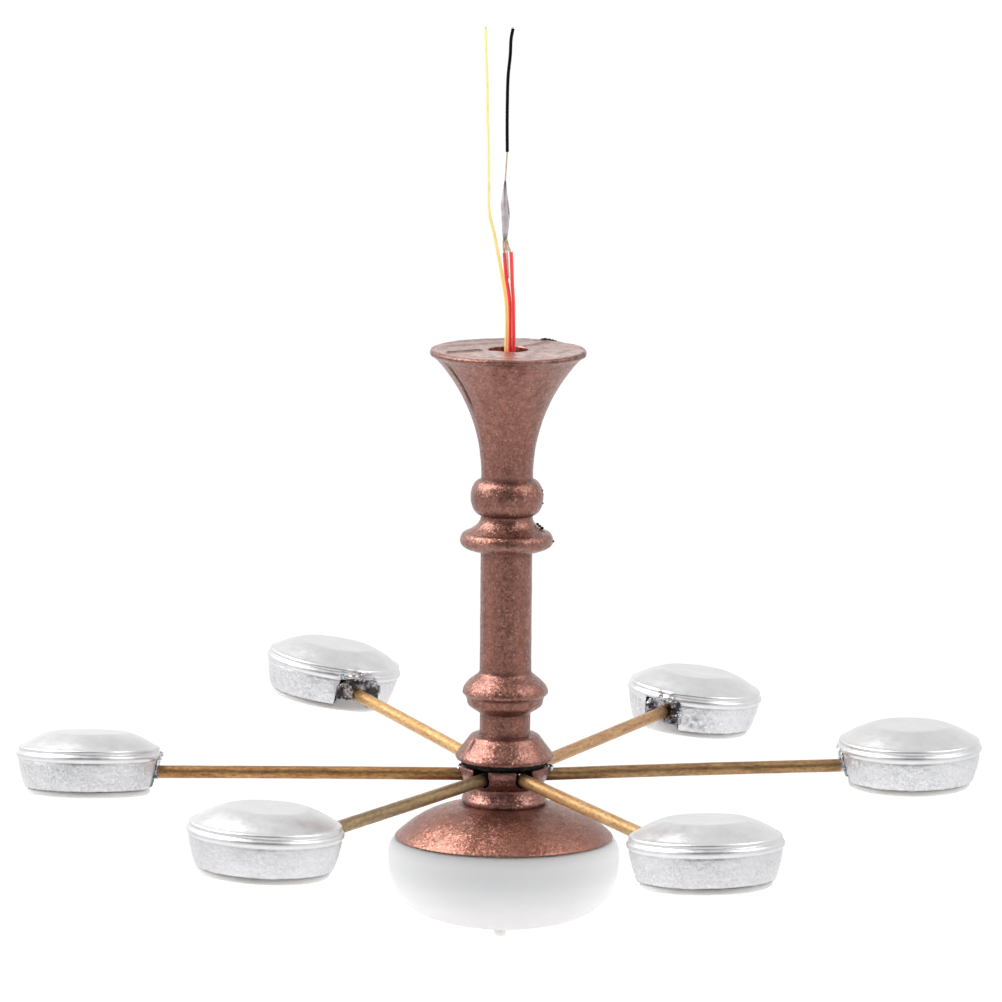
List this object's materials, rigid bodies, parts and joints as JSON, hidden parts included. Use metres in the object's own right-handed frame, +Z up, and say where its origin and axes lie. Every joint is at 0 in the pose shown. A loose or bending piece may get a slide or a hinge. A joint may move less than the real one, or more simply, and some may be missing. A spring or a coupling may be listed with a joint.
{
  "type": "miniature chandelier",
  "caption": "Dolls' house ceiling light: a turned copper column with brass arms ending in round silver lamp heads, a frosted globe below and bare-ended supply wires above.",
  "frame": {"origin": "centre of the column's flat top face, where it meets the ceiling", "axes": "+Z up the column's axis to the ceiling, +X along the first arm to the right, -Y to the front"},
  "size_m": [0.0792, 0.0716, 0.0744],
  "materials": {
    "copper_paint": "metallic flake paint over a cast body, satin, lighter on worn edges",
    "silver_paint": "silver paint, satin, with a fine cast grain on the side walls",
    "brass_tube": "drawn tube, aged, with brown streaks",
    "frosted_diffuser": "frosted white, translucent",
    "solder": "dull grey solder with shiny spots",
    "dark_filler": "dark filler, half gloss",
    "led_board": "white solder mask",
    "led_phosphor": "yellow phosphor window in a white package",
    "enamelled_wire": "clear brown enamel over copper",
    "bare_conductor": "tinned copper strands, dull",
    "wire_yellow": "thin insulation, semi-gloss",
    "wire_red": "thin insulation, semi-gloss",
    "wire_black": "thin insulation, semi-gloss"
  },
  "bodies": {
    "root": {"canopy_column": "copper_paint", "hub": "copper_paint", "dome_cap": "copper_paint", "hub_potting": "dark_filler", "wire_junction": "solder", "globe_diffuser": "frosted_diffuser", "centre_led_board": "led_board", "centre_led_chip": "led_phosphor", "centre_leads": "enamelled_wire", "yellow_wire": "wire_yellow", "red_wire_a": "wire_red", "red_wire_b": "wire_red", "black_wire": "wire_black", "black_wire_core": "bare_conductor", "red_wire_strands": "bare_conductor", "splice_solder": "solder", "arm_tube_1": "brass_tube", "arm_tube_2": "brass_tube", "arm_tube_3": "brass_tube", "arm_tube_4": "brass_tube", "arm_tube_5": "brass_tube", "arm_tube_6": "brass_tube", "arm_leads_1": "enamelled_wire", "arm_leads_2": "enamelled_wire", "arm_leads_3": "enamelled_wire", "arm_leads_4": "enamelled_wire", "arm_leads_5": "enamelled_wire", "arm_leads_6": "enamelled_wire", "arm_joint_1": "solder", "arm_joint_2": "solder", "arm_joint_3": "solder", "arm_joint_4": "solder", "arm_joint_5": "solder", "arm_joint_6": "solder", "head_shell_1": "silver_paint", "head_shell_2": "silver_paint", "head_shell_3": "silver_paint", "head_shell_4": "silver_paint", "head_shell_5": "silver_paint", "head_shell_6": "silver_paint", "lens_1": "frosted_diffuser", "lens_2": "frosted_diffuser", "lens_3": "frosted_diffuser", "lens_4": "frosted_diffuser", "lens_5": "frosted_diffuser", "lens_6": "frosted_diffuser", "led_board_1": "led_board", "led_board_2": "led_board", "led_board_3": "led_board", "led_board_4": "led_board", "led_board_5": "led_board", "led_board_6": "led_board", "led_chip_1": "led_phosphor", "led_chip_2": "led_phosphor", "led_chip_3": "led_phosphor", "led_chip_4": "led_phosphor", "led_chip_5": "led_phosphor", "led_chip_6": "led_phosphor"}
  },
  "joints": []
}
